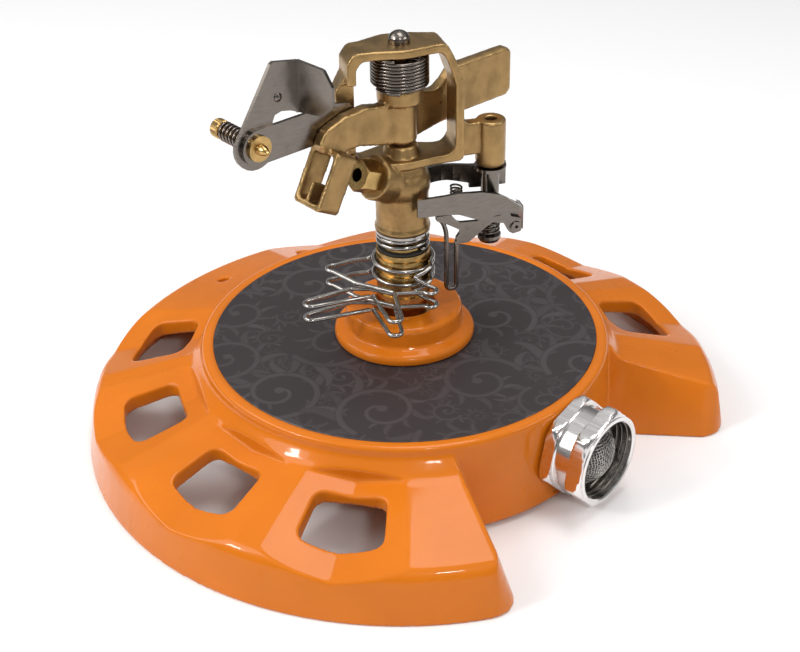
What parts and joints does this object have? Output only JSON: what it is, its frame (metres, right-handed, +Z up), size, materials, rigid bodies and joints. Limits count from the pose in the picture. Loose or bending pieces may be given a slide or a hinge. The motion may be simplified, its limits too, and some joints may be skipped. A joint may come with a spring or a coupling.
{
  "type": "impact sprinkler",
  "caption": "Part-circle impulse lawn sprinkler: cast brass head with swinging arm, trip levers and wire stops on a heavy round enamelled base with a swivel hose inlet.",
  "frame": {"origin": "on the ground plane, on the swivel axis of the sprinkler head", "axes": "+Z up along the swivel axis, +X towards the hose inlet's mouth, +Y to its left seen from above"},
  "size_m": [0.2157, 0.2364, 0.153],
  "materials": {
    "orange_enamel": "gloss",
    "label": "satin",
    "cast_brass": "sand cast",
    "brass": "machined",
    "copper": "machined",
    "chrome": "polished",
    "steel": "satin",
    "rubber": "matt"
  },
  "bodies": {
    "base": {"base_casting": "orange_enamel", "label_disc": "label", "hub_boss": "orange_enamel", "inlet_manifold": "cast_brass", "inlet_tailpiece": "brass", "bearing_sleeve": "brass", "sleeve_seal": "rubber"},
    "coupling": {"coupling_nut": "chrome", "hose_washer": "rubber", "inlet_screen": "steel"},
    "upper_collar": {"friction_collar_upper": "chrome"},
    "lower_collar": {"friction_collar_lower": "chrome"},
    "head": {"bearing_nipple": "brass", "bearing_spring": "chrome", "thrust_washer": "chrome", "sprinkler_body": "cast_brass", "nozzle": "brass", "pivot_pin": "steel", "arm_spring": "steel", "arm_washer": "copper", "trip_shaft": "steel", "trip_spacer": "steel", "toggle_spring": "steel"},
    "arm": {"impact_arm": "cast_brass", "arm_bush": "copper", "deflector_bracket": "steel", "bracket_rivets": "steel", "screw_grommet": "brass"},
    "flap": {"deflector_flap": "steel", "flap_washer": "steel"},
    "screw": {"diffuser_screw": "brass", "diffuser_spring": "steel"},
    "reverser": {"lever_sleeve": "steel", "reversing_lever": "steel"},
    "trip": {"trip_lever": "steel", "trip_frame": "steel", "trip_rivet": "steel", "coil_spring": "steel", "trip_wire": "steel"}
  },
  "joints": [
    {"name": "head_swivel", "type": "hinge", "parent": "base", "child": "head", "pos_m": [0, 0, 0.07], "axis": [0, 0, 1], "range_deg": [-22, 160]},
    {"name": "upper_collar_turn", "type": "hinge", "parent": "base", "child": "upper_collar", "pos_m": [0, 0, 0.0675], "axis": [0, 0, 1], "range_deg": [-20, 20]},
    {"name": "lower_collar_turn", "type": "hinge", "parent": "base", "child": "lower_collar", "pos_m": [0, 0, 0.062], "axis": [0, 0, 1], "range_deg": [-20, 20]},
    {"name": "arm_swing", "type": "hinge", "parent": "head", "child": "arm", "pos_m": [0, 0, 0.12], "axis": [0, 0, 1], "range_deg": [0, 100], "stiffness_Nm_per_rad": 0.03, "springref_deg": -17.19},
    {"name": "coupling_spin", "type": "hinge", "parent": "base", "child": "coupling", "pos_m": [0.083, 0, 0.0202], "axis": [1, 0, 0], "continuous": true},
    {"name": "flap_tilt", "type": "hinge", "parent": "arm", "child": "flap", "pos_m": [-0.00797, -0.05674, 0.127], "axis": [0.9903, -0.1392, 0], "range_deg": [0, 45]},
    {"name": "diffuser_turn", "type": "hinge", "parent": "arm", "child": "screw", "pos_m": [-0.00797, -0.05674, 0.127], "axis": [-0.9903, 0.1392, 0], "continuous": true},
    {"name": "trip_swing", "type": "hinge", "parent": "head", "child": "trip", "pos_m": [0.01759, 0.02709, 0.085], "axis": [0, 0, 1], "range_deg": [0, 12]},
    {"name": "reverse_swing", "type": "hinge", "parent": "head", "child": "reverser", "pos_m": [0.01759, 0.02709, 0.094], "axis": [0, 0, 1], "range_deg": [-9, 0]}
  ],
  "couplings": [
    {"joint": "reverse_swing", "follows": "trip_swing", "ratio": -0.7}
  ]
}
